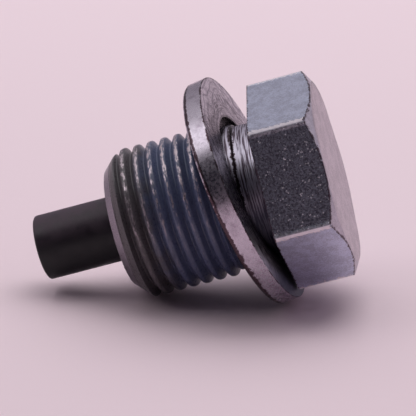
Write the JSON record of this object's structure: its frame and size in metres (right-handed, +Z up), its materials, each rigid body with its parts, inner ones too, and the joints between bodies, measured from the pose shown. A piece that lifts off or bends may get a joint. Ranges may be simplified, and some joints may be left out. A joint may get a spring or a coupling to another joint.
{
  "type": "oil drain plug",
  "caption": "Hexagon-headed drain plug with a threaded shank, a loose sealing washer on its neck and a bar magnet in its end, lying propped on the washer.",
  "frame": {"origin": "on the surface that the plug lies on, in the middle of its length and width", "axes": "+Z up from the surface; the plug's axis lies in the XZ plane, rising towards +X, where the head is; the magnet points to -X"},
  "size_m": [0.0342, 0.0246, 0.0237],
  "materials": {
    "plated_steel": "zinc-plated steel, satin to dull, worn at its edges",
    "dark_magnet": "near-black satin",
    "washer_steel": "bright steel with turning marks"
  },
  "bodies": {
    "root": {"drain_plug": "plated_steel", "magnet": "dark_magnet", "sealing_washer": "washer_steel"}
  },
  "joints": []
}
